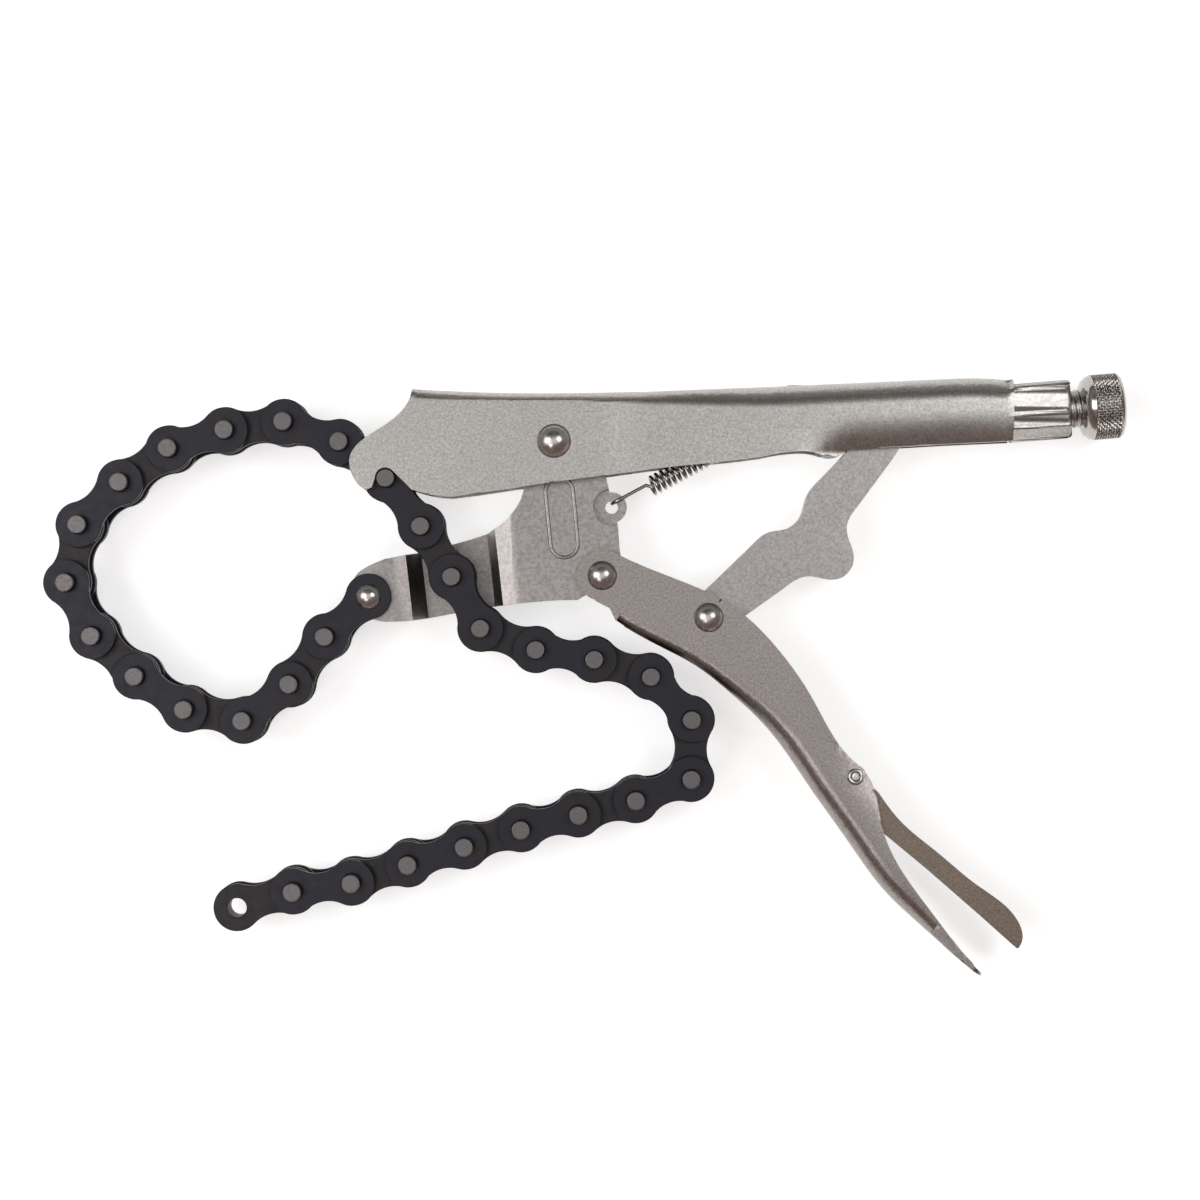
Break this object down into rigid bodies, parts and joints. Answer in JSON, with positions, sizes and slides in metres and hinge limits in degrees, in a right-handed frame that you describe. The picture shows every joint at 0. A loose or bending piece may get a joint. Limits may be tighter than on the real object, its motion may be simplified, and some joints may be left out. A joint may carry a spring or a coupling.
{
  "type": "locking chain clamp",
  "caption": "Locking pliers with a chain loop hooked in the nose, an adjusting screw and a release lever, open.",
  "frame": {"origin": "centre of the hook seat in the nose, at the middle of the thickness", "axes": "+X along the upper handle towards the knob, +Y from the lower handle to the upper one in the plane of the jaw, +Z across the thickness, up when the tool lies on its side"},
  "size_m": [0.2907, 0.1624, 0.0245],
  "materials": {
    "nickel_steel": "satin blasted nickel plate",
    "rivet_steel": "polished nickel plate",
    "blued_steel": "blue black oxide",
    "oiled_steel": "dark oiled oxide",
    "pin_steel": "plain ground steel",
    "spring_wire": "bright drawn wire"
  },
  "bodies": {
    "upper_handle": {"upper_handle": "nickel_steel", "jaw_rivet": "rivet_steel", "return_spring": "spring_wire"},
    "adjusting_screw": {"adjusting_screw": "nickel_steel"},
    "knob": {"knurled_knob": "nickel_steel"},
    "moving_jaw": {"moving_jaw": "nickel_steel", "handle_rivet": "rivet_steel", "chain_rivet": "rivet_steel"},
    "lower_handle": {"lower_handle": "nickel_steel", "link_rivet": "rivet_steel", "lever_pin": "pin_steel"},
    "toggle_link": {"toggle_link": "nickel_steel"},
    "release_lever": {"release_lever": "nickel_steel"},
    "chain_01": {"outer_link_01": "blued_steel", "chain_pins_01": "pin_steel"},
    "chain_02": {"inner_link_02": "oiled_steel"},
    "chain_03": {"outer_link_03": "blued_steel", "chain_pins_03": "pin_steel"},
    "chain_04": {"inner_link_04": "oiled_steel"},
    "chain_05": {"outer_link_05": "blued_steel", "chain_pins_05": "pin_steel"},
    "chain_06": {"inner_link_06": "oiled_steel"},
    "chain_07": {"outer_link_07": "blued_steel", "chain_pins_07": "pin_steel"},
    "chain_08": {"inner_link_08": "oiled_steel"},
    "chain_09": {"outer_link_09": "blued_steel", "chain_pins_09": "pin_steel"},
    "chain_10": {"inner_link_10": "oiled_steel"},
    "chain_11": {"outer_link_11": "blued_steel", "chain_pins_11": "pin_steel"},
    "chain_12": {"inner_link_12": "oiled_steel"},
    "chain_13": {"outer_link_13": "blued_steel", "chain_pins_13": "pin_steel"},
    "chain_14": {"inner_link_14": "oiled_steel"},
    "chain_15": {"outer_link_15": "blued_steel", "chain_pins_15": "pin_steel"},
    "chain_16": {"inner_link_16": "oiled_steel"},
    "chain_17": {"outer_link_17": "blued_steel", "chain_pins_17": "pin_steel"},
    "chain_18": {"inner_link_18": "oiled_steel"},
    "chain_19": {"outer_link_19": "blued_steel", "chain_pins_19": "pin_steel"},
    "chain_20": {"inner_link_20": "oiled_steel"},
    "chain_21": {"outer_link_21": "blued_steel", "chain_pins_21": "pin_steel"},
    "chain_22": {"inner_link_22": "oiled_steel"},
    "chain_23": {"outer_link_23": "blued_steel", "chain_pins_23": "pin_steel"},
    "chain_24": {"inner_link_24": "oiled_steel"},
    "chain_25": {"outer_link_25": "blued_steel", "chain_pins_25": "pin_steel"},
    "chain_26": {"inner_link_26": "oiled_steel"},
    "chain_27": {"outer_link_27": "blued_steel", "chain_pins_27": "pin_steel"},
    "chain_28": {"inner_link_28": "oiled_steel"},
    "chain_29": {"outer_link_29": "blued_steel", "chain_pins_29": "pin_steel"},
    "chain_30": {"inner_link_30": "oiled_steel"}
  },
  "joints": [
    {"name": "handle_pivot", "type": "hinge", "parent": "moving_jaw", "child": "lower_handle", "pos_m": [0.05794, -0.02607, 0], "axis": [0, 0, 1], "range_deg": [0, 44]},
    {"name": "jaw_pivot", "type": "hinge", "parent": "upper_handle", "child": "moving_jaw", "pos_m": [0.04505, 0.00984, 0], "axis": [0, 0, 1], "range_deg": [-18.6, 0.6], "deforming": ["return_spring"]},
    {"name": "toggle_pivot", "type": "hinge", "parent": "lower_handle", "child": "toggle_link", "pos_m": [0.0865, -0.0373, 0], "axis": [0, 0, 1], "range_deg": [-37.52, 0.6]},
    {"name": "release_lever_pivot", "type": "hinge", "parent": "lower_handle", "child": "release_lever", "pos_m": [0.12588, -0.07995, 0], "axis": [0, 0, 1], "range_deg": [-10, 0]},
    {"name": "screw_slide", "type": "slide", "parent": "upper_handle", "child": "adjusting_screw", "axis": [0.9969, 0.0785, 0], "range_m": [0, 0.018]},
    {"name": "knob_spin", "type": "hinge", "parent": "adjusting_screw", "child": "knob", "pos_m": [0.1769, 0.0183, 0], "axis": [0.9969, 0.0785, 0], "range_deg": [-4330, 10]},
    {"name": "chain_joint_01", "type": "hinge", "parent": "moving_jaw", "child": "chain_01", "pos_m": [-0.00474, -0.03168, 0], "axis": [0, 0, 1], "range_deg": [-0.6, 9.28]},
    {"name": "chain_joint_02", "type": "hinge", "parent": "chain_01", "child": "chain_02", "pos_m": [-0.01635, -0.04251, 0], "axis": [0, 0, 1], "range_deg": [-0.6, 6.69]},
    {"name": "chain_joint_03", "type": "hinge", "parent": "chain_02", "child": "chain_03", "pos_m": [-0.0259, -0.05518, 0], "axis": [0, 0, 1], "range_deg": [-0.6, 4.52]},
    {"name": "chain_joint_04", "type": "hinge", "parent": "chain_03", "child": "chain_04", "pos_m": [-0.03841, -0.06496, 0], "axis": [0, 0, 1], "range_deg": [-0.6, 1.33]},
    {"name": "chain_joint_05", "type": "hinge", "parent": "chain_04", "child": "chain_05", "pos_m": [-0.054, -0.06193, 0], "axis": [0, 0, 1], "range_deg": [-2.09, 0.6]},
    {"name": "chain_joint_06", "type": "hinge", "parent": "chain_05", "child": "chain_06", "pos_m": [-0.06716, -0.05305, 0], "axis": [0, 0, 1], "range_deg": [-3.98, 0.6]},
    {"name": "chain_joint_07", "type": "hinge", "parent": "chain_06", "child": "chain_07", "pos_m": [-0.07877, -0.04223, 0], "axis": [0, 0, 1], "range_deg": [-6.59, 0.6]},
    {"name": "chain_joint_08", "type": "hinge", "parent": "chain_07", "child": "chain_08", "pos_m": [-0.08572, -0.02796, 0], "axis": [0, 0, 1], "range_deg": [-7.53, 0.6]},
    {"name": "chain_joint_09", "type": "hinge", "parent": "chain_08", "child": "chain_09", "pos_m": [-0.08242, -0.01243, 0], "axis": [0, 0, 1], "range_deg": [-3.53, 0.6]},
    {"name": "chain_joint_10", "type": "hinge", "parent": "chain_09", "child": "chain_10", "pos_m": [-0.0713, -0.00111, 0], "axis": [0, 0, 1], "range_deg": [-0.6, 0.77]},
    {"name": "chain_joint_11", "type": "hinge", "parent": "chain_10", "child": "chain_11", "pos_m": [-0.05829, 0.008, 0], "axis": [0, 0, 1], "range_deg": [-0.6, 2.79]},
    {"name": "chain_joint_12", "type": "hinge", "parent": "chain_11", "child": "chain_12", "pos_m": [-0.0432, 0.0129, 0], "axis": [0, 0, 1], "range_deg": [-0.6, 3.92]},
    {"name": "chain_joint_13", "type": "hinge", "parent": "chain_12", "child": "chain_13", "pos_m": [-0.02747, 0.01511, 0], "axis": [0, 0, 1], "range_deg": [-0.6, 5.86]},
    {"name": "chain_joint_14", "type": "hinge", "parent": "chain_13", "child": "chain_14", "pos_m": [-0.01254, 0.00974, 0], "axis": [0, 0, 1], "range_deg": [-0.6, 8.94]},
    {"name": "chain_joint_15", "type": "hinge", "parent": "upper_handle", "child": "chain_15", "pos_m": [0, 0, 0], "axis": [0, 0, 1], "range_deg": [-0.6, 25.8]},
    {"name": "chain_joint_16", "type": "hinge", "parent": "chain_15", "child": "chain_16", "pos_m": [0.00933, -0.01284, 0], "axis": [0, 0, 1], "range_deg": [-76.5, 0.6]},
    {"name": "chain_joint_17", "type": "hinge", "parent": "chain_16", "child": "chain_17", "pos_m": [0.01763, -0.02638, 0], "axis": [0, 0, 1], "range_deg": [-0.6, 48.4]},
    {"name": "chain_joint_18", "type": "hinge", "parent": "chain_17", "child": "chain_18", "pos_m": [0.02532, -0.04026, 0], "axis": [0, 0, 1], "range_deg": [-0.6, 5.3]},
    {"name": "chain_joint_19", "type": "hinge", "parent": "chain_18", "child": "chain_19", "pos_m": [0.04014, -0.04595, 0], "axis": [0, 0, 1], "range_deg": [-2.4, 0.6]},
    {"name": "chain_joint_20", "type": "hinge", "parent": "chain_19", "child": "chain_20", "pos_m": [0.0558, -0.04857, 0], "axis": [0, 0, 1], "range_deg": [-18, 4]},
    {"name": "chain_joint_21", "type": "hinge", "parent": "chain_20", "child": "chain_21", "pos_m": [0.07098, -0.05321, 0], "axis": [0, 0, 1], "range_deg": [-15, 18]},
    {"name": "chain_joint_22", "type": "hinge", "parent": "chain_21", "child": "chain_22", "pos_m": [0.08191, -0.06473, 0], "axis": [0, 0, -1], "range_deg": [-40, 14]},
    {"name": "chain_joint_23", "type": "hinge", "parent": "chain_22", "child": "chain_23", "pos_m": [0.08177, -0.0806, 0], "axis": [0, 0, 1], "range_deg": [-14, 40]},
    {"name": "chain_joint_24", "type": "hinge", "parent": "chain_23", "child": "chain_24", "pos_m": [0.06695, -0.08629, 0], "axis": [0, 0, -1], "range_deg": [-40, 18]},
    {"name": "chain_joint_25", "type": "hinge", "parent": "chain_24", "child": "chain_25", "pos_m": [0.05155, -0.09013, 0], "axis": [0, 0, -1], "range_deg": [-40, 20]},
    {"name": "chain_joint_26", "type": "hinge", "parent": "chain_25", "child": "chain_26", "pos_m": [0.03618, -0.09411, 0], "axis": [0, 0, -1], "range_deg": [-40, 24]},
    {"name": "chain_joint_27", "type": "hinge", "parent": "chain_26", "child": "chain_27", "pos_m": [0.021, -0.09875, 0], "axis": [0, 0, -1], "range_deg": [-40, 30]},
    {"name": "chain_joint_28", "type": "hinge", "parent": "chain_27", "child": "chain_28", "pos_m": [0.00585, -0.10352, 0], "axis": [0, 0, -1], "range_deg": [-40, 40]},
    {"name": "chain_joint_29", "type": "hinge", "parent": "chain_28", "child": "chain_29", "pos_m": [-0.00924, -0.10843, 0], "axis": [0, 0, -1], "range_deg": [-40, 40]},
    {"name": "chain_joint_30", "type": "hinge", "parent": "chain_29", "child": "chain_30", "pos_m": [-0.02494, -0.11077, 0], "axis": [0, 0, -1], "range_deg": [-40, 40]}
  ],
  "couplings": [
    {"joint": "jaw_pivot", "follows": "handle_pivot", "ratio": -0.40909},
    {"joint": "toggle_pivot", "follows": "handle_pivot", "ratio": -0.83909},
    {"joint": "knob_spin", "follows": "screw_slide", "rad_per_m": -4188.8},
    {"joint": "chain_joint_01", "follows": "handle_pivot", "ratio": 0.19724},
    {"joint": "chain_joint_02", "follows": "handle_pivot", "ratio": 0.13843},
    {"joint": "chain_joint_03", "follows": "handle_pivot", "ratio": 0.08917},
    {"joint": "chain_joint_04", "follows": "handle_pivot", "ratio": 0.01669},
    {"joint": "chain_joint_05", "follows": "handle_pivot", "ratio": -0.0338},
    {"joint": "chain_joint_06", "follows": "handle_pivot", "ratio": -0.07681},
    {"joint": "chain_joint_07", "follows": "handle_pivot", "ratio": -0.1361},
    {"joint": "chain_joint_08", "follows": "handle_pivot", "ratio": -0.15742},
    {"joint": "chain_joint_09", "follows": "handle_pivot", "ratio": -0.06654},
    {"joint": "chain_joint_10", "follows": "handle_pivot", "ratio": 0.00393},
    {"joint": "chain_joint_11", "follows": "handle_pivot", "ratio": 0.04977},
    {"joint": "chain_joint_12", "follows": "handle_pivot", "ratio": 0.07556},
    {"joint": "chain_joint_13", "follows": "handle_pivot", "ratio": 0.11954},
    {"joint": "chain_joint_14", "follows": "handle_pivot", "ratio": 0.18944},
    {"joint": "chain_joint_15", "follows": "handle_pivot", "ratio": 0.57273},
    {"joint": "chain_joint_16", "follows": "handle_pivot", "ratio": -1.725},
    {"joint": "chain_joint_17", "follows": "handle_pivot", "ratio": 1.0864},
    {"joint": "chain_joint_18", "follows": "handle_pivot", "ratio": 0.10682},
    {"joint": "chain_joint_19", "follows": "handle_pivot", "ratio": -0.04091}
  ]
}
